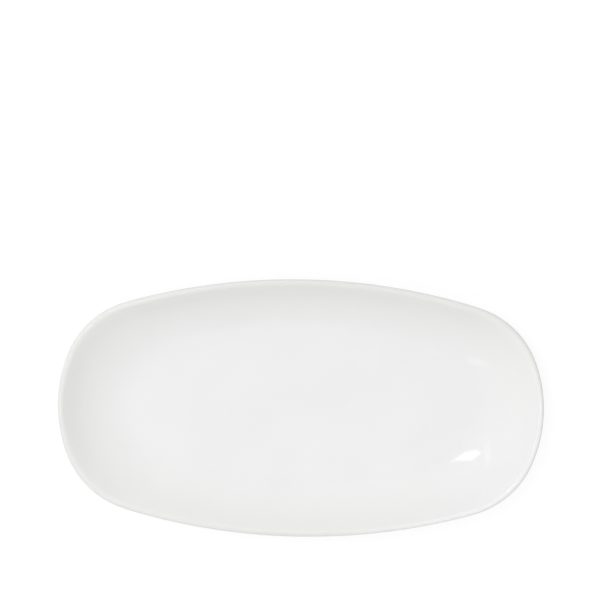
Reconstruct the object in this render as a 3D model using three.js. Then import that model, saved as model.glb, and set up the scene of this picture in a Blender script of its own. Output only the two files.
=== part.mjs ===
// Oblong serving plate in white porcelain: one fired clay body, the coat of glaze over its inside, lip and
// outer wall, and the separate pool of glaze inside its bare foot ring.
// Millimetres, +Z up, +X along the plate. The origin is under its middle, on the plane that it stands on.
import * as THREE from "three";

// Overall size
const LENGTH = 340;
const WIDTH = 182;
const HEIGHT = 27;

// Rim outline: how far a side and an end bow out between their corners, and the arc that rounds each corner
const SIDE_BOW = 25;
const END_BOW = 25;
const CORNER_RADIUS = 62;

// Dish: its even wall, the straight flank under the lip, the arcs of the wall and of the floor's edge, the
// width of the flat floor, how much further in it begins at the ends, and the air under it. From the rim to
// the floor the outline softens by FLOOR_OVAL of the way from its own shape to an ellipse.
const WALL = 4.6;
const FLANK = 7.2;
const WALL_CURVE = 48.5;
const EDGE_CURVE = 19;
const FLOOR_WIDTH = 112;
const END_EASE = 12;
const FLOOR_OVAL = 0.5;
const BASE_CLEARANCE = 3;

// Foot ring: its size across the plate, its thickness, its blend into the wall and its rounded lower edges
const FOOT_WIDTH = 106;
const FOOT_WALL = 5.5;
const FOOT_FILLET = 1.2;
const FOOT_ROUND = 1;

// Glaze: its thickness, and the height at which it was wiped off the foot ring
const GLAZE = 0.4;
const GLAZE_LINE = 1.5;

// Most of the room beside it that a corner arc, a fillet or a rounded edge may take
const CORNER_ROOM = 0.9;
const FILLET_ROOM = 0.8;

// Points closer than this are one point
const SAME_POINT = 1e-6;

// Facets along each stretch of a quarter of the rim, and of the section through the wall
const RIM_STEPS = { end: 3, corner: 7, side: 6 };
const EDGE_STEPS = { inside: 3, under: 2 };
const WALL_STEPS = { inside: 5, under: 4 };
const FLANK_STEPS = 2;
const LIP_STEPS = { inside: 2, top: 4, outside: 2 };
const FOOT_STEPS = { fillet: 3, round: 2 };

// A section's points are (inset from the rim across the plate, height). From the floor's edge the inside is
// an arc of EDGE_CURVE up to edgeAngle, one of wallCurve up to slope, and the flank, which runs into the lip's
// full round. wallCurve is WALL_CURVE, but no tighter than the single arc from the floor to the flank.
const reach = (WIDTH - FLOOR_WIDTH) / 2;
const floorHeight = BASE_CLEARANCE + WALL;
const depth = HEIGHT - floorHeight;
const lipRadius = WALL / 2;
const lipCentre = new THREE.Vector2(lipRadius, HEIGHT - lipRadius);
const singleCurve = ((reach - lipRadius) ** 2 + depth ** 2 - FLANK ** 2) / (2 * depth) - lipRadius;
const wallCurve = Math.max(WALL_CURVE, singleCurve);
const middleRadius = wallCurve + lipRadius;
const edgeCentre = new THREE.Vector2(reach, floorHeight + EDGE_CURVE);
const toEdge = edgeCentre.clone().sub(lipCentre);
const widening = wallCurve - EDGE_CURVE;
const alongEdge = (middleRadius ** 2 + FLANK ** 2 - toEdge.lengthSq() - widening ** 2) / (2 * widening);
const edgeAngle = Math.atan2(toEdge.x, toEdge.y) - Math.acos(alongEdge / toEdge.length());
const wallCentre = dishPoint(edgeCentre, -widening, edgeAngle);
const toWall = wallCentre.clone().sub(lipCentre);
const slope = Math.atan2(toWall.x, toWall.y) - Math.atan2(FLANK, middleRadius);
const footOutside = (WIDTH - FOOT_WIDTH) / 2;
const footInside = footOutside + FOOT_WALL;
const footRound = Math.min(FOOT_ROUND, FILLET_ROOM * GLAZE_LINE, FILLET_ROOM * (FOOT_WALL / 2 - GLAZE));

// Stretches of points end to end, with the ends that they share once
function chain(...stretches) {
  const apart = (point, index, all) => index === 0 || point.distanceTo(all[index - 1]) > SAME_POINT;
  return stretches.flat().filter(apart);
}

// Points along [curve, facets] pairs that follow on from each other
function trace(stretches) {
  return chain(...stretches.map(([curve, facets]) => curve.getPoints(facets)));
}

function reversed(points) {
  return [...points].reverse();
}

// Radius of the arc that bows out by bow over half its chord
function bowRadius(halfChord, bow) {
  return (halfChord ** 2 + bow ** 2) / (2 * bow);
}

// Where circles about two points cross, on the side of greater x
function crossing(centreA, radiusA, centreB, radiusB) {
  const between = centreB.clone().sub(centreA);
  const distance = between.length();
  const along = (radiusA ** 2 - radiusB ** 2 + distance ** 2) / (2 * distance);
  const aside = Math.sqrt(radiusA ** 2 - along ** 2);
  const unit = between.divideScalar(distance);
  return new THREE.Vector2(unit.y, -unit.x).multiplyScalar(aside).addScaledVector(unit, along).add(centreA);
}

// A quarter of the rim, from the middle of an end to the middle of a side, in three tangent arcs
function rimQuarter() {
  const halfLength = LENGTH / 2;
  const halfWidth = WIDTH / 2;
  const sideRadius = bowRadius(halfLength - END_BOW, SIDE_BOW);
  const endRadius = bowRadius(halfWidth - SIDE_BOW, END_BOW);
  const room = 2 * halfWidth * sideRadius - halfLength ** 2 - halfWidth ** 2;
  const largest = Math.min(endRadius, room / (2 * (sideRadius - halfLength)));
  const cornerRadius = Math.min(CORNER_RADIUS, CORNER_ROOM * largest);
  const end = new THREE.Vector2(halfLength - endRadius, 0);
  const side = new THREE.Vector2(0, halfWidth - sideRadius);
  const corner = crossing(side, sideRadius - cornerRadius, end, endRadius - cornerRadius);
  const endAngle = corner.clone().sub(end).angle();
  const sideAngle = corner.clone().sub(side).angle();
  return trace([
    [new THREE.ArcCurve(end.x, end.y, endRadius, 0, endAngle), RIM_STEPS.end],
    [new THREE.ArcCurve(corner.x, corner.y, cornerRadius, endAngle, sideAngle), RIM_STEPS.corner],
    [new THREE.ArcCurve(side.x, side.y, sideRadius, sideAngle, Math.PI / 2), RIM_STEPS.side],
  ]);
}

// The whole rim, counter-clockwise from the middle of the +X end
function rimOutline() {
  const quarter = rimQuarter();
  const onward = quarter.slice(0, -1);
  const back = reversed(quarter.slice(1));
  const mirrored = (points, x, y) => points.map((point) => new THREE.Vector2(point.x * x, point.y * y));
  return [...onward, ...mirrored(back, -1, 1), ...mirrored(onward, -1, -1), ...mirrored(back, 1, -1)];
}

// Point of the dish's arc about a centre, at an angle from the arc's lowest point outwards
function dishPoint(centre, radius, angle) {
  const offset = new THREE.Vector2(Math.sin(angle), Math.cos(angle)).multiplyScalar(radius);
  return centre.clone().sub(offset);
}

function dishArc(centre, radius, from, to) {
  const lowest = -Math.PI / 2;
  return new THREE.ArcCurve(centre.x, centre.y, radius, lowest - from, lowest - to, to > from);
}

// Arc of the lip's round between two angles from its top, positive outwards
function lipArc(radius, from, to) {
  const top = Math.PI / 2;
  return new THREE.ArcCurve(lipCentre.x, lipCentre.y, radius, top + from, top + to);
}

// Straight flank between the wall's arc and the lip's round, on the inside (side 1) or the outside (side -1)
function flank(side, skin) {
  const offset = new THREE.Vector2(Math.sin(slope), Math.cos(slope)).multiplyScalar(lipRadius - skin);
  const low = dishPoint(wallCentre, middleRadius - side * (lipRadius - skin), slope);
  const high = lipCentre.clone().addScaledVector(offset, side);
  return side > 0 ? new THREE.LineCurve(low, high) : new THREE.LineCurve(high, low);
}

// The underside from the flank to the middle of the plate, skin deep under the glazed surface
function underside(skin) {
  const wall = dishArc(wallCentre, wallCurve + WALL - skin, slope, edgeAngle);
  const edge = dishArc(edgeCentre, EDGE_CURVE + WALL - skin, edgeAngle, 0);
  const middle = new THREE.Vector2(WIDTH / 2, BASE_CLEARANCE + skin);
  return trace([
    [wall, WALL_STEPS.under],
    [edge, EDGE_STEPS.under],
    [new THREE.LineCurve(edge.getPoint(1), middle), 1],
  ]);
}

// Point of the underside at an inset
function pointAt(under, inset) {
  const next = under.findIndex((point) => point.x >= inset);
  const before = under[next - 1];
  return before.clone().lerp(under[next], (inset - before.x) / (under[next].x - before.x));
}

// Where an upright face of the foot ring meets the underside, with the ends of the fillet that fits there.
// The fillet spreads outwards from the outer face (side 1) and inwards from the inner face (side -1).
function footJunction(under, inset, side) {
  const corner = pointAt(under, inset);
  const fillet = Math.min(FOOT_FILLET, FILLET_ROOM * (corner.y - GLAZE_LINE));
  const wallEnd = pointAt(under, inset - side * fillet);
  const faceEnd = new THREE.Vector2(inset, corner.y - fillet);
  return { wallEnd, corner, faceEnd };
}

// From the floor's edge over the lip to the glaze line outside the foot, skin deep under the glazed surface
function coatSection(skin) {
  const lip = lipRadius - skin;
  const insideAndLip = trace([
    [dishArc(edgeCentre, EDGE_CURVE + skin, 0, edgeAngle), EDGE_STEPS.inside],
    [dishArc(wallCentre, wallCurve + skin, edgeAngle, slope), WALL_STEPS.inside],
    [flank(1, skin), FLANK_STEPS],
    [lipArc(lip, -slope, 0), LIP_STEPS.inside],
    [lipArc(lip, 0, Math.PI / 2), LIP_STEPS.top],
    [lipArc(lip, Math.PI / 2, Math.PI - slope), LIP_STEPS.outside],
    [flank(-1, skin), FLANK_STEPS],
  ]);
  const under = underside(skin);
  const foot = footOutside + skin;
  const { wallEnd, corner, faceEnd } = footJunction(under, foot, 1);
  const intoFoot = trace([
    [new THREE.QuadraticBezierCurve(wallEnd, corner, faceEnd), FOOT_STEPS.fillet],
    [new THREE.LineCurve(faceEnd, new THREE.Vector2(foot, GLAZE_LINE)), 1],
  ]);
  const outside = under.filter((point) => point.x < wallEnd.x);
  return chain(insideAndLip, outside, intoFoot);
}

// The bare lower band of the foot ring, from the glaze line outside it to the one inside it
function bareFootSection() {
  const outside = footOutside + GLAZE;
  const inside = footInside - GLAZE;
  const at = (inset, height) => new THREE.Vector2(inset, height);
  const round = (inset, from) => new THREE.ArcCurve(inset, footRound, footRound, from, from + Math.PI / 2);
  return trace([
    [new THREE.LineCurve(at(outside, GLAZE_LINE), at(outside, footRound)), 1],
    [round(outside + footRound, Math.PI), FOOT_STEPS.round],
    [new THREE.LineCurve(at(outside + footRound, 0), at(inside - footRound, 0)), 1],
    [round(inside - footRound, -Math.PI / 2), FOOT_STEPS.round],
    [new THREE.LineCurve(at(inside, footRound), at(inside, GLAZE_LINE)), 1],
  ]);
}

// From the glaze line inside the foot to the flat of the underside
function baseSection(skin) {
  const under = underside(skin);
  const foot = footInside - skin;
  const { wallEnd, corner, faceEnd } = footJunction(under, foot, -1);
  const outOfFoot = trace([
    [new THREE.LineCurve(new THREE.Vector2(foot, GLAZE_LINE), faceEnd), 1],
    [new THREE.QuadraticBezierCurve(faceEnd, corner, wallEnd), FOOT_STEPS.fillet],
  ]);
  const inwards = under.slice(0, -1).filter((point) => point.x > wallEnd.x);
  return chain(outOfFoot, inwards);
}

// Two triangles for each step between two rings. The diagonal leaves the deeper ring, whichever comes first,
// so that the clay and the glaze on it share their facets.
function wallFaces(count, ring, deeperFirst) {
  const faces = [];
  for (let step = 0; step < count; step++) {
    const here = ring * count + step;
    const next = ring * count + ((step + 1) % count);
    const hereBeyond = here + count;
    const nextBeyond = next + count;
    if (deeperFirst) {
      faces.push(here, hereBeyond, nextBeyond, here, nextBeyond, next);
    } else {
      faces.push(here, hereBeyond, next, next, hereBeyond, nextBeyond);
    }
  }
  return faces;
}

// The flat inside of a ring, facing up, in strips across the plate
function floorFaces(count, ring) {
  const start = ring * count;
  const last = count / 2 - 1;
  const faces = [];
  for (let step = 0; step <= last; step++) {
    const near = start + ((count - step) % count);
    const nearNext = start + count - step - 1;
    if (step < last) faces.push(start + step, start + step + 1, nearNext);
    if (step > 0) faces.push(start + step, nearNext, near);
  }
  return faces;
}

// The rim's outline drawn in by an inset, and softened towards an ellipse on the way to the floor
function ring(inset, rim) {
  const half = new THREE.Vector2(LENGTH / 2, WIDTH / 2);
  const share = Math.min(1, inset / reach);
  const softness = FLOOR_OVAL * share;
  const scale = new THREE.Vector2(1 - (inset + END_EASE * share ** 2) / half.x, 1 - inset / half.y);
  return rim.map((place) => {
    const toEllipse = 1 / place.clone().divide(half).length();
    return place.clone().multiply(scale).multiplyScalar(1 - softness + softness * toEllipse);
  });
}

// Closed solid of a section carried round the rim, with a ring of points for each point of the section
function loft(section, rim) {
  const positions = section.flatMap((point) =>
    ring(point.x, rim).flatMap((place) => [place.x, place.y, point.y]),
  );
  const faces = floorFaces(rim.length, 0);
  for (let level = 0; level < section.length - 1; level++) {
    faces.push(...wallFaces(rim.length, level, section[level].x >= section[level + 1].x));
  }
  faces.push(...floorFaces(rim.length, section.length - 1).reverse());
  const geometry = new THREE.BufferGeometry();
  geometry.setAttribute("position", new THREE.Float32BufferAttribute(positions, 3));
  geometry.setIndex(faces);
  geometry.computeVertexNormals();
  return geometry;
}

function piece(name, section, rim, finish) {
  const mesh = new THREE.Mesh(loft(section, rim), new THREE.MeshStandardMaterial(finish));
  mesh.name = name;
  return mesh;
}

const BISQUE = { color: "#e9e4da", roughness: 0.85, metalness: 0 };
const GLOSS = { color: "#f3f3f1", roughness: 0.1, metalness: 0 };

const rim = rimOutline();
const bodyCoat = coatSection(GLAZE);
const bodyBase = baseSection(GLAZE);
const plate = new THREE.Group();
plate.add(
  piece("porcelain_body", chain(bodyCoat, bareFootSection(), bodyBase), rim, BISQUE),
  piece("glaze_coat", [...coatSection(0), ...reversed(bodyCoat)], rim, GLOSS),
  piece("base_glaze", [...reversed(bodyBase), ...baseSection(0)], rim, GLOSS),
);

export default plate;
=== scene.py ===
# Looks of the oblong serving plate: glazed porcelain lofted over the frame, on a white studio floor.
import math

import bpy
import numpy as np
from mathutils import Matrix, Vector


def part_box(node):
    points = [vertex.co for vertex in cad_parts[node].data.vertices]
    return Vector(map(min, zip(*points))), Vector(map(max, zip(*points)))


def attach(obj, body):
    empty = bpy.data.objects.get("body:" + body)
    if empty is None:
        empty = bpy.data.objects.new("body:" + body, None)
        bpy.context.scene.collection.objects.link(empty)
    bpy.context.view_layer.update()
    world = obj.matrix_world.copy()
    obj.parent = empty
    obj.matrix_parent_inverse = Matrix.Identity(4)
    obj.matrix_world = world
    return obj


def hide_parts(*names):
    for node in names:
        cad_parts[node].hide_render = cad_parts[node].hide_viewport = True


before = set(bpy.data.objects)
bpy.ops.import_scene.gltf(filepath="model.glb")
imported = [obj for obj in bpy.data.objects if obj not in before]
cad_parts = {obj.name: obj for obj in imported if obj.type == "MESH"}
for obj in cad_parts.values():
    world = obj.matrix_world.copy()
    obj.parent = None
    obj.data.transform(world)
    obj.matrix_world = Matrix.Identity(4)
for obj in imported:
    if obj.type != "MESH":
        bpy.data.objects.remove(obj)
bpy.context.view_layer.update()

# Overall size in metres, from the frame: +X along the plate, +Z up out of the dish
lowest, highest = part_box("glaze_coat")
LENGTH = highest[0] - lowest[0]
WIDTH = highest[1] - lowest[1]
HEIGHT = highest[2]

# Rim outline: the bow of a side and of an end, the arc of a corner, and the blend between these arcs
SIDE_BOW = 0.025
END_BOW = 0.025
CORNER_RADIUS = 0.062
RIM_BLEND = 0.005

# Dish: its wall, the straight flank under the lip, the arcs of the wall and of the floor's edge, the floor,
# how much further in it begins at the ends, its softening towards an ellipse, and the air under it
WALL = 0.0046
FLANK = 0.0072
WALL_CURVE = 0.0485
EDGE_CURVE = 0.019
FLOOR_WIDTH = 0.112
END_EASE = 0.012
FLOOR_OVAL = 0.5
BASE_CLEARANCE = 0.003

# Foot ring and glaze, and the blend that the glaze gives along the section
FOOT_WIDTH = 0.106
FOOT_WALL = 0.0055
FOOT_FILLET = 0.0012
FOOT_ROUND = 0.001
GLAZE = 0.0004
GLAZE_LINE = 0.0015
SECTION_BLEND = 0.0005

# Mesh fineness: points round the rim, along a section that shows, along one that hardly does, in a fillet
# and in a bead, the spacing before they are chosen, and the metres that a radian of turn counts for
RIM_POINTS = 400
SHOWN_POINTS = 130
HIDDEN_POINTS = 40
FILLET_POINTS = 40
BEAD_POINTS = 6
FINE_STEP = 0.0001
TURN_WEIGHT = 0.02

# How many of its widths a blend reaches, and the flat between a section's last curve and the cap beyond it
BLEND_REACH = 4
CAP_FLAT = 0.01

# Way towards the corner where a painted highlight lies on the lip and the wall's painted shade tint fades,
# and how far along it from the middle the painted highlight begins and is full
PAINTED_HIGHLIGHT_WAY = (0.75, -0.66, 0)
PAINTED_HIGHLIGHT_SPAN = (0.072, 0.13)

# Glaze colours: the clouds in the well, the wall's warm painted shade tint, the lip grey partly as thin
# glaze and partly as painted shade, the lip's sides darker with painted shade, the lip's painted highlight,
# and a pinhole
WELL_DARK = (0.825, 0.825, 0.825, 1)
WELL_LIGHT = (0.843, 0.843, 0.842, 1)
WALL_PAINTED_SHADE_TINT = (0.836, 0.836, 0.813, 1)
LIP_THIN_GLAZE_AND_SHADE = (0.797, 0.797, 0.779, 1)
LIP_PAINTED_SIDE_SHADE = (0.77, 0.77, 0.753, 1)
LIP_PAINTED_HIGHLIGHT = (0.878, 0.878, 0.872, 1)
PINHOLE_COLOUR = (0.42, 0.40, 0.37, 1)

# Where the glaze changes colour: the depth below the top at which the wall's painted shade tint is
# strongest, the depths over which the lip's colour, partly thin glaze and partly painted shade, comes, the
# insets over which it goes again and over which the painted highlight begins, and the distances from the
# plate's sides over which the lip's painted shade grows
WARMEST_DEPTH = 0.008
LIP_DEPTHS = (0.0022, 0.0002)
LIP_INSETS = (0.0029, 0.0037)
PAINTED_HIGHLIGHT_INSETS = (0.0004, 0.0016)
PAINTED_SIDE_SHADE_DISTANCES = (0.013, 0.001)

# How strongly the wall, the lip and a pinhole take on their colours
WALL_TINT = 0.75
LIP_TINT = 0.9
PINHOLE_TINT = 0.35

# Glaze surface: its refraction, its roughness, its ripples, and the scale and the size of its pinholes
GLAZE_IOR = 1.5
GLAZE_ROUGHNESS = (0.03, 0.07)
RIPPLE_STRENGTH = 0.25
RIPPLE_DEPTH = 0.00002
PINHOLE_SCALE = 60.0
PINHOLE_SIZES = (0.012, 0.02)

# Bare clay: the colours of its patches and of its dark grains, the levels of noise at which a grain shows
# and how strongly, its roughness, and its relief
CLAY_DARK = (0.76, 0.71, 0.63, 1)
CLAY_LIGHT = (0.83, 0.79, 0.72, 1)
GRAIN_COLOUR = (0.56, 0.5, 0.43, 1)
GRAIN_LEVELS = (0.6, 0.75)
GRAIN_TINT = 0.4
CLAY_ROUGHNESS = (0.78, 0.92)
GRAIN_STRENGTH = 0.5
GRAIN_DEPTH = 0.0001

# Scale and detail of the noise in each pattern, and the levels that most of a noise lies between
CLOUDS = (22, 3)
POLISH = (60, 4)
RIPPLES = (260, 2)
PATCHES = (70, 3)
GRAIN = (1400, 4)
NOISE_LEVELS = (0.3, 0.7)

# Camera of the photograph, about the middle of the rim: its turn and lean, its distance, its focal length
# and the place of the rim's middle in pixels, and the width of its sensor in millimetres
PICTURE = 600
CAMERA_TURN = math.radians(1.0187)
CAMERA_LEAN = math.radians(9.0669)
CAMERA_DISTANCE = 1.36
CAMERA_FOCUS = 1941.5
RIM_MIDDLE = (300.9, 408.8)
SENSOR = 36.0

# Light: the even ambient, and for each lamp its place, its size, its turn in degrees, its radiance and
# whether the gloss mirrors it
AMBIENT = 0.635
LAMPS = {
    "key": ((-1.4, 1.4, 3.5), (1.6, 1.6), 0, 5.3, False),
    "side": ((-1.0, 1.0, 0.45), (0.6, 0.6), 0, 1.8, False),
    "front": ((0.0, -0.75, 1.3), (0.6, 0.6), 0, 2.65, False),
    "softbox": ((-1.3, 0.84, 5.0), (0.45, 0.64), -5, 3.5, True),
    "wing": ((-0.78, 0.52, 5.0), (0.34, 0.74), -5, 3.5, True),
    "strip": ((-2.35, 1.2, 5.0), (0.33, 1.9), -34, 1.05, True),
    "spot": ((-1.53, -2.7, 5.0), (0.4, 1.1), -37, 1.15, True),
}

# Studio floor: its size, the distances from the plate over which its glow rises and the glow at each, the
# colour that takes the shadow, and its paint to other light
FLOOR_SIZE = 12.0
FLOOR_DISTANCES = (0.5, 2.5)
FLOOR_GLOW = (0.86, 1.0)
FLOOR_SHADE = (0.17, 0.17, 0.17, 1)
FLOOR_PAINT = (0.5, 0.5, 0.5, 1)
WHITE = (1, 1, 1, 1)

# Sockets of a mix node that hold colours: its two inputs and its output
MIX_FIRST = 6
MIX_SECOND = 7
MIX_RESULT = 2

# Derived: from the floor's edge the inside is an arc of EDGE_CURVE up to edge_angle, one of WALL_CURVE up
# to slope, and the flank, which runs into the lip's full round. Points of a section are complex numbers:
# inset + 1j * height.
half_length = LENGTH / 2
half_width = WIDTH / 2
reach = (WIDTH - FLOOR_WIDTH) / 2
floor_height = BASE_CLEARANCE + WALL
lip_radius = WALL / 2
lip_centre = lip_radius + 1j * (HEIGHT - lip_radius)
edge_centre = reach + 1j * (floor_height + EDGE_CURVE)
to_edge = edge_centre - lip_centre
widening = WALL_CURVE - EDGE_CURVE
lip_to_wall = math.hypot(WALL_CURVE + lip_radius, FLANK)
along_edge = (lip_to_wall**2 - abs(to_edge) ** 2 - widening**2) / (2 * widening)
edge_angle = math.atan2(to_edge.real, to_edge.imag) - math.acos(along_edge / abs(to_edge))
wall_centre = edge_centre + widening * (math.sin(edge_angle) + 1j * math.cos(edge_angle))
to_wall = wall_centre - lip_centre
slope = math.atan2(to_wall.real, to_wall.imag) - math.atan2(FLANK, WALL_CURVE + lip_radius)
foot_outside = (WIDTH - FOOT_WIDTH) / 2
foot_inside = foot_outside + FOOT_WALL


def arc(centre, radius, start, end):
    count = max(2, round(abs(end - start) * radius / FINE_STEP))
    return centre + radius * np.exp(1j * np.linspace(start, end, count))


def line(start, end):
    return np.linspace(start, end, max(2, round(abs(end - start) / FINE_STEP)))


def fillet(start, corner, end):
    along = np.linspace(0, 1, FILLET_POINTS)
    return start * (1 - along) ** 2 + 2 * corner * along * (1 - along) + end * along**2


def evenly(path, count):
    """That many points at even steps along a path."""
    travelled = np.concatenate([[0], np.cumsum(np.abs(np.diff(path)))])
    return np.interp(np.linspace(0, travelled[-1], count), travelled, path)


def blended(path, width, closed=False):
    """An evenly stepped path with its curvature eased over a width."""
    step = abs(path[1] - path[0])
    margin = math.ceil(BLEND_REACH * width / step)
    kernel = np.exp(-((np.arange(-margin, margin + 1) * step / width) ** 2) / 2)
    before = path[-margin:] if closed else 2 * path[0] - path[margin:0:-1]
    after = path[:margin] if closed else 2 * path[-1] - path[-2 : -margin - 2 : -1]
    return np.convolve(np.concatenate([before, path, after]), kernel / kernel.sum(), mode="valid")


def chosen(path, count):
    """Points of a fine path, closer together where it turns."""
    steps = np.diff(path)
    turns = np.append(np.abs(np.angle(steps[1:] / steps[:-1])), 0)
    weight = np.concatenate([[0], np.cumsum(np.abs(steps) + TURN_WEIGHT * turns)])
    return np.interp(np.linspace(0, weight[-1], count), weight, path)


def joined(stretches):
    """Stretches end to end, as one path of fine even steps."""
    path = np.concatenate(stretches)
    length = np.abs(np.diff(path)).sum()
    return evenly(path, round(length / FINE_STEP))


def smooth_section(stretches, count):
    return chosen(blended(joined(stretches), SECTION_BLEND), count)


def bow_radius(half_chord, bow):
    return (half_chord**2 + bow**2) / (2 * bow)


def crossing(centre_a, radius_a, centre_b, radius_b):
    """Where circles about two points cross, on the side of greater x."""
    between = centre_b - centre_a
    distance = abs(between)
    along = (radius_a**2 - radius_b**2 + distance**2) / (2 * distance)
    aside = math.sqrt(radius_a**2 - along**2)
    return centre_a + (along - 1j * aside) * between / distance


def rim_outline():
    """The rim as x + 1j * y, counter-clockwise from the middle of the +X end."""
    side_radius = bow_radius(half_length - END_BOW, SIDE_BOW)
    end_radius = bow_radius(half_width - SIDE_BOW, END_BOW)
    end = complex(half_length - end_radius)
    side = 1j * (half_width - side_radius)
    corner = crossing(side, side_radius - CORNER_RADIUS, end, end_radius - CORNER_RADIUS)
    end_angle = np.angle(corner - end)
    side_angle = np.angle(corner - side)
    quarter = np.concatenate(
        [
            arc(end, end_radius, 0, end_angle),
            arc(corner, CORNER_RADIUS, end_angle, side_angle),
            arc(side, side_radius, side_angle, math.pi / 2),
        ]
    )
    half = np.concatenate([quarter, -quarter[::-1].conj()])
    loop = evenly(np.concatenate([half, half[::-1].conj()]), RIM_POINTS + 1)[:-1]
    loop = blended(loop, RIM_BLEND, closed=True)
    return loop.real * half_length / loop.real.max() + 1j * loop.imag * half_width / loop.imag.max()


def dish_arc(centre, radius, start, end):
    """An arc of the dish between two angles from its lowest point."""
    return arc(centre, radius, -math.pi / 2 - start, -math.pi / 2 - end)


def underside(skin):
    """The underside from the flank to the middle, skin deep."""
    wall = dish_arc(wall_centre, WALL_CURVE + WALL - skin, slope, edge_angle)
    edge = dish_arc(edge_centre, EDGE_CURVE + WALL - skin, edge_angle, 0)
    return joined([wall, edge, line(edge[-1], half_width + 1j * edge[-1].imag)])


def foot_fillet(under, inset, side):
    """From the underside into an upright face of the foot."""
    insets = np.array([inset - side * FOOT_FILLET, inset])
    start, corner = insets + 1j * np.interp(insets, under.real, under.imag)
    return fillet(start, corner, corner - 1j * FOOT_FILLET)


def coat_section(skin, count):
    """From the floor's edge over the lip to the glaze line outside the foot, skin deep."""
    lip = lip_radius - skin
    foot = foot_outside + skin
    floor_edge = reach + 1j * (floor_height - skin)
    inner_flank = lip_centre + lip * np.exp(1j * (math.pi / 2 - slope))
    outer_flank = lip_centre - lip * np.exp(1j * (math.pi / 2 - slope))
    wall = dish_arc(wall_centre, WALL_CURVE + skin, edge_angle, slope)
    under = underside(skin)
    into_foot = foot_fillet(under, foot, 1)
    stretches = [
        line(floor_edge + CAP_FLAT, floor_edge),
        dish_arc(edge_centre, EDGE_CURVE + skin, 0, edge_angle),
        wall,
        line(wall[-1], inner_flank),
        arc(lip_centre, lip, math.pi / 2 - slope, math.pi * 1.5 - slope),
        line(outer_flank, under[0]),
        under[under.real < into_foot[0].real],
        into_foot,
        line(into_foot[-1], foot + 1j * GLAZE_LINE),
    ]
    return smooth_section(stretches, count)


def base_section(skin, count):
    """From the glaze line inside the foot to the flat of the underside, skin deep."""
    foot = foot_inside - skin
    out_of_foot = foot_fillet(underside(skin), foot, -1)[::-1]
    stretches = [
        line(foot + 1j * GLAZE_LINE, out_of_foot[0]),
        out_of_foot,
        line(out_of_foot[-1], out_of_foot[-1] + CAP_FLAT),
    ]
    return smooth_section(stretches, count)


def bare_foot_section(count):
    """The bare lower band of the foot ring, from the glaze line outside it to the one inside it."""
    outside = foot_outside + GLAZE
    inside = foot_inside - GLAZE
    outer_round = arc(outside + FOOT_ROUND * (1 + 1j), FOOT_ROUND, math.pi, math.pi * 1.5)
    inner_round = arc(inside - FOOT_ROUND * (1 - 1j), FOOT_ROUND, -math.pi / 2, 0)
    stretches = [
        line(outside + 1j * GLAZE_LINE, outer_round[0]),
        outer_round,
        line(outer_round[-1], inner_round[0]),
        inner_round,
        line(inner_round[-1], inside + 1j * GLAZE_LINE),
    ]
    return chosen(joined(stretches), count)


def glaze_bead(start, end):
    """The rounded edge in which the glaze ends at the glaze line, without its two ends."""
    middle = (start + end) / 2
    return middle + (start - middle) * np.exp(1j * np.linspace(0, math.pi, BEAD_POINTS + 2)[1:-1])


def loft(name, section, rim, material):
    """A closed mesh of a section carried round the rim, in rings that soften towards an ellipse."""
    inset = section.real[:, None]
    share = np.clip(inset / reach, 0, 1)
    softness = FLOOR_OVAL * share
    soften = 1 - softness + softness / np.hypot(rim.real / half_length, rim.imag / half_width)
    x = rim.real * soften * (1 - (inset + END_EASE * share**2) / half_length)
    y = rim.imag * soften * (1 - inset / half_width)
    z = np.broadcast_to(section.imag[:, None], x.shape)
    here = np.arange(x.size).reshape(x.shape)
    following = np.roll(here, -1, axis=1)
    walls = np.stack([here[:-1], here[1:], following[1:], following[:-1]], axis=-1)
    faces = [here[0].tolist(), here[-1, ::-1].tolist(), *walls.reshape(-1, 4).tolist()]
    mesh = bpy.data.meshes.new(name)
    mesh.from_pydata(np.stack([x, y, z], axis=-1).reshape(-1, 3).tolist(), [], faces)
    mesh.shade_smooth()
    insets = mesh.attributes.new("inset", "FLOAT", "POINT")
    insets.data.foreach_set("value", np.broadcast_to(inset, x.shape).ravel())
    mesh.materials.append(material)
    piece = bpy.data.objects.new(name, mesh)
    bpy.context.collection.objects.link(piece)
    return piece


def add_node(tree, kind, links=(), **values):
    """A shader node with its sockets set, or linked from other sockets."""
    node = tree.nodes.new(kind)
    for name, value in values.items():
        setattr(node, name, value)
    for socket, value in links:
        if isinstance(value, bpy.types.NodeSocket):
            tree.links.new(value, node.inputs[socket])
        else:
            node.inputs[socket].default_value = value
    return node


def new_material(name):
    material = bpy.data.materials.new(name)
    material.use_nodes = True
    material.node_tree.nodes.clear()
    return material, material.node_tree


def object_place(tree):
    return add_node(tree, "ShaderNodeTexCoord").outputs["Object"]


def noise(tree, place, scale, detail):
    links = [("Vector", place), ("Scale", scale), ("Detail", detail)]
    return add_node(tree, "ShaderNodeTexNoise", links).outputs["Fac"]


def spread_over(tree, value, levels, results=(0.0, 1.0)):
    """The results at two levels of a value, evenly between them and held beyond them."""
    links = [("Value", value), ("From Min", levels[0]), ("From Max", levels[1])]
    links += [("To Min", results[0]), ("To Max", results[1])]
    return add_node(tree, "ShaderNodeMapRange", links).outputs["Result"]


def mixed(tree, share, first, second):
    links = [("Factor", share), (MIX_FIRST, first), (MIX_SECOND, second)]
    return add_node(tree, "ShaderNodeMix", links, data_type="RGBA").outputs[MIX_RESULT]


def calculated(tree, operation, *values):
    return add_node(tree, "ShaderNodeMath", list(enumerate(values)), operation=operation).outputs[0]


def bumped(tree, height, strength, depth):
    links = [("Height", height), ("Strength", strength), ("Distance", depth)]
    return add_node(tree, "ShaderNodeBump", links).outputs["Normal"]


def principled_surface(tree, links):
    shader = add_node(tree, "ShaderNodeBsdfPrincipled", links)
    add_node(tree, "ShaderNodeOutputMaterial", [("Surface", shader.outputs["BSDF"])])


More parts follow.
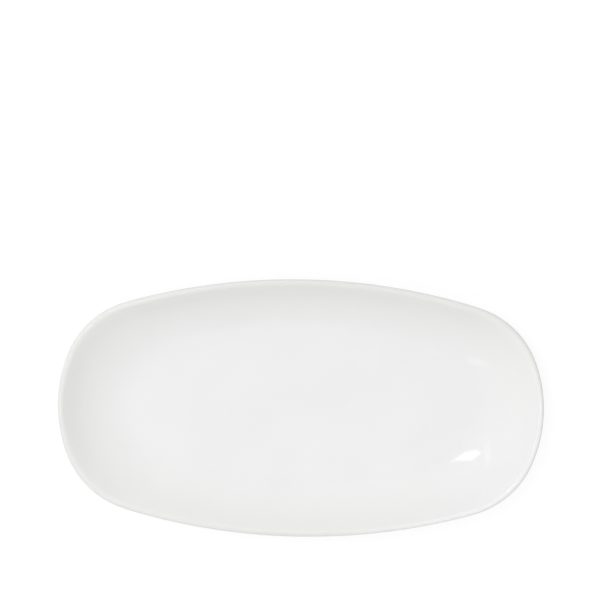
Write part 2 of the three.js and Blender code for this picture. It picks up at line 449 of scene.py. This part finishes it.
def painted_highlight_share(tree, place):
    """0 to 1 towards the corner that gets a painted highlight on the lip and loses the wall's painted shade
    tint.
    """
    along = add_node(tree, "ShaderNodeVectorMath", [(0, place), (1, PAINTED_HIGHLIGHT_WAY)], operation="DOT_PRODUCT")
    return spread_over(tree, along.outputs["Value"], PAINTED_HIGHLIGHT_SPAN)


def lip_share(tree, height, inset):
    """How far the lip's colour, partly thin glaze and partly painted shade, shows: on its round, and not on
    the flank inside it.
    """
    heights = [HEIGHT - depth for depth in LIP_DEPTHS]
    upper = spread_over(tree, height, heights, (0.0, LIP_TINT))
    outer = spread_over(tree, inset, LIP_INSETS, (1.0, 0.0))
    return calculated(tree, "MULTIPLY", upper, outer)


def lip_colour(tree, aside, inset, painted_highlight):
    """Grey partly as thin glaze and partly as painted shade, darker with painted shade in the middle of the
    sides, and whiter with a painted highlight at one corner.
    """
    # Painted shade: the lip grows darker towards the middle of the two long sides
    places = [half_width - distance for distance in PAINTED_SIDE_SHADE_DISTANCES]
    sides = spread_over(tree, calculated(tree, "ABSOLUTE", aside), places)
    thin_glaze_and_shade = mixed(tree, sides, LIP_THIN_GLAZE_AND_SHADE, LIP_PAINTED_SIDE_SHADE)
    # Painted highlight: the lip turns whiter towards the +X, -Y corner
    lip_highlight = calculated(tree, "MULTIPLY", painted_highlight, spread_over(tree, inset, PAINTED_HIGHLIGHT_INSETS))
    return mixed(tree, lip_highlight, thin_glaze_and_shade, LIP_PAINTED_HIGHLIGHT)


def glaze_material():
    """White gloss glaze: clouded, with a warm painted shade tint up the wall, a lip grey partly as thin
    glaze and partly as painted shade, a painted highlight on the lip at one corner, pinholes and uneven
    polish.
    """
    material, tree = new_material("white_glaze")
    place = object_place(tree)
    axes = add_node(tree, "ShaderNodeSeparateXYZ", [("Vector", place)]).outputs
    inset = add_node(tree, "ShaderNodeAttribute", attribute_name="inset").outputs["Fac"]
    # Painted highlight share: whitens the lip and keeps the wall neutral towards the +X, -Y corner
    painted_highlight = painted_highlight_share(tree, place)
    clouds = spread_over(tree, noise(tree, place, *CLOUDS), NOISE_LEVELS)
    colour = mixed(tree, clouds, WELL_DARK, WELL_LIGHT)
    # Painted shade tint: the wall turns warmer with height, as shaded walls look, but not under the painted
    # highlight
    painted_shade_tint = spread_over(tree, axes["Z"], (floor_height, HEIGHT - WARMEST_DEPTH), (0.0, WALL_TINT))
    wall = calculated(tree, "MULTIPLY", painted_shade_tint, calculated(tree, "SUBTRACT", 1.0, painted_highlight))
    colour = mixed(tree, wall, colour, WALL_PAINTED_SHADE_TINT)
    # Lip colour: partly thin glaze, partly painted shade
    lip = lip_share(tree, axes["Z"], inset)
    colour = mixed(tree, lip, colour, lip_colour(tree, axes["Y"], inset, painted_highlight))
    cells = add_node(tree, "ShaderNodeTexVoronoi", [("Vector", place), ("Scale", PINHOLE_SCALE)])
    pinholes = spread_over(tree, cells.outputs["Distance"], PINHOLE_SIZES, (PINHOLE_TINT, 0.0))
    colour = mixed(tree, pinholes, colour, PINHOLE_COLOUR)
    roughness = spread_over(tree, noise(tree, place, *POLISH), NOISE_LEVELS, GLAZE_ROUGHNESS)
    relief = bumped(tree, noise(tree, place, *RIPPLES), RIPPLE_STRENGTH, RIPPLE_DEPTH)
    principled_surface(
        tree,
        [("Base Color", colour), ("Roughness", roughness), ("IOR", GLAZE_IOR), ("Normal", relief)],
    )
    return material


def bisque_material():
    """Bare fired porcelain: matt, warm, with a fine grain and faint dark grains."""
    material, tree = new_material("bare_porcelain")
    place = object_place(tree)
    grain = noise(tree, place, *GRAIN)
    patches = spread_over(tree, noise(tree, place, *PATCHES), NOISE_LEVELS)
    dark_grains = spread_over(tree, grain, GRAIN_LEVELS, (0.0, GRAIN_TINT))
    colour = mixed(tree, dark_grains, mixed(tree, patches, CLAY_DARK, CLAY_LIGHT), GRAIN_COLOUR)
    roughness = spread_over(tree, grain, NOISE_LEVELS, CLAY_ROUGHNESS)
    relief = bumped(tree, grain, GRAIN_STRENGTH, GRAIN_DEPTH)
    principled_surface(tree, [("Base Color", colour), ("Roughness", roughness), ("Normal", relief)])
    return material


def seen_rays(tree):
    """1 for rays that show the backdrop itself: from the camera, or by way of gloss or glass."""
    path = add_node(tree, "ShaderNodeLightPath").outputs
    either = calculated(tree, "MAXIMUM", path["Is Camera Ray"], path["Is Glossy Ray"])
    return calculated(tree, "MAXIMUM", either, path["Is Transmission Ray"])


def floor_material():
    """White where it is seen, with the plate's faint shadow, and plain pale paint to other light."""
    material, tree = new_material("studio_floor")
    links = [(0, object_place(tree))]
    away = add_node(tree, "ShaderNodeVectorMath", links, operation="LENGTH").outputs["Value"]
    strength = spread_over(tree, away, FLOOR_DISTANCES, FLOOR_GLOW)
    glow = add_node(tree, "ShaderNodeEmission", [("Color", WHITE), ("Strength", strength)])
    catcher = add_node(tree, "ShaderNodeBsdfDiffuse", [("Color", FLOOR_SHADE)])
    seen = add_node(tree, "ShaderNodeAddShader", [(0, glow.outputs[0]), (1, catcher.outputs[0])])
    paint = add_node(tree, "ShaderNodeBsdfDiffuse", [("Color", FLOOR_PAINT)])
    links = [(0, seen_rays(tree)), (1, paint.outputs[0]), (2, seen.outputs[0])]
    shader = add_node(tree, "ShaderNodeMixShader", links)
    add_node(tree, "ShaderNodeOutputMaterial", [("Surface", shader.outputs[0])])
    return material


def make_world():
    """White where it is seen, and an even ambient light otherwise."""
    world = bpy.data.worlds.new("studio")
    world.use_nodes = True
    tree = world.node_tree
    tree.nodes.clear()
    strength = spread_over(tree, seen_rays(tree), (0.0, 1.0), (AMBIENT, 1.0))
    shader = add_node(tree, "ShaderNodeBackground", [("Color", WHITE), ("Strength", strength)])
    add_node(tree, "ShaderNodeOutputWorld", [("Surface", shader.outputs[0])])
    bpy.context.scene.world = world


def make_floor():
    half = FLOOR_SIZE / 2
    corners = [(-half, -half, 0), (half, -half, 0), (half, half, 0), (-half, half, 0)]
    mesh = bpy.data.meshes.new("floor")
    mesh.from_pydata(corners, [], [(0, 1, 2, 3)])
    mesh.materials.append(floor_material())
    floor = bpy.data.objects.new("floor", mesh)
    bpy.context.collection.objects.link(floor)


def make_lamp(name, place, size, turn, radiance, mirrored):
    """A soft lamp that faces the middle of the plate. Only a mirrored one shows in the gloss."""
    lamp = bpy.data.lights.new(name, "AREA")
    lamp.shape = "RECTANGLE"
    lamp.size, lamp.size_y = size
    lamp.energy = math.pi * radiance * lamp.size * lamp.size_y
    stand = bpy.data.objects.new(name, lamp)
    facing = Vector(place).to_track_quat("Z", "Y").to_matrix() @ Matrix.Rotation(math.radians(turn), 3, "Z")
    stand.matrix_world = Matrix.Translation(place) @ facing.to_4x4()
    stand.visible_camera = False
    stand.visible_glossy = mirrored
    bpy.context.collection.objects.link(stand)


def make_camera():
    """The photograph's camera, turned so that the middle of the rim falls on its place in the picture."""
    middle = Vector((0, 0, HEIGHT - lip_radius))
    lean = math.sin(CAMERA_LEAN)
    offset = Vector((-math.sin(CAMERA_TURN) * lean, math.cos(CAMERA_TURN) * lean, math.cos(CAMERA_LEAN)))
    right = Vector((math.cos(CAMERA_TURN), math.sin(CAMERA_TURN), 0))
    axes = Matrix((right, offset.cross(right), offset)).transposed()
    sight = Vector((RIM_MIDDLE[0] - PICTURE / 2, PICTURE / 2 - RIM_MIDDLE[1], -CAMERA_FOCUS))
    turn = Vector((0, 0, -1)).rotation_difference(sight).to_matrix()
    facing = axes @ turn.transposed()
    data = bpy.data.cameras.new("camera")
    data.sensor_width = SENSOR
    data.lens = CAMERA_FOCUS / PICTURE * SENSOR
    camera = bpy.data.objects.new("camera", data)
    camera.matrix_world = Matrix.Translation(middle + CAMERA_DISTANCE * offset) @ facing.to_4x4()
    bpy.context.collection.objects.link(camera)
    bpy.context.scene.camera = camera


# Sections of the three pieces
body_coat = coat_section(GLAZE, HIDDEN_POINTS)
body_base = base_section(GLAZE, HIDDEN_POINTS)
shown_coat = coat_section(0, SHOWN_POINTS)
shown_base = base_section(0, HIDDEN_POINTS)
bare_foot = bare_foot_section(HIDDEN_POINTS)
coat_bead = glaze_bead(shown_coat[-1], body_coat[-1])
base_bead = glaze_bead(body_base[0], shown_base[0])
body_section = np.concatenate([body_coat, bare_foot[1:-1], body_base])
coat_skin = np.concatenate([shown_coat, coat_bead, body_coat[::-1]])
base_skin = np.concatenate([body_base[::-1], base_bead, shown_base])

# The three pieces
rim = rim_outline()
glaze = glaze_material()
pieces = {
    "porcelain_body": (body_section, bisque_material(), "bisque"),
    "glaze_coat": (coat_skin, glaze, "glaze"),
    "base_glaze": (base_skin, glaze, "glaze"),
}
for node, (section, material, slot) in pieces.items():
    piece = loft("fine_" + node, section, rim, material)
    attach(piece, "root")
    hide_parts(node)

# The studio
make_floor()
make_world()
for name, values in LAMPS.items():
    make_lamp(name, *values)
make_camera()
bpy.context.scene.view_settings.view_transform = "Standard"
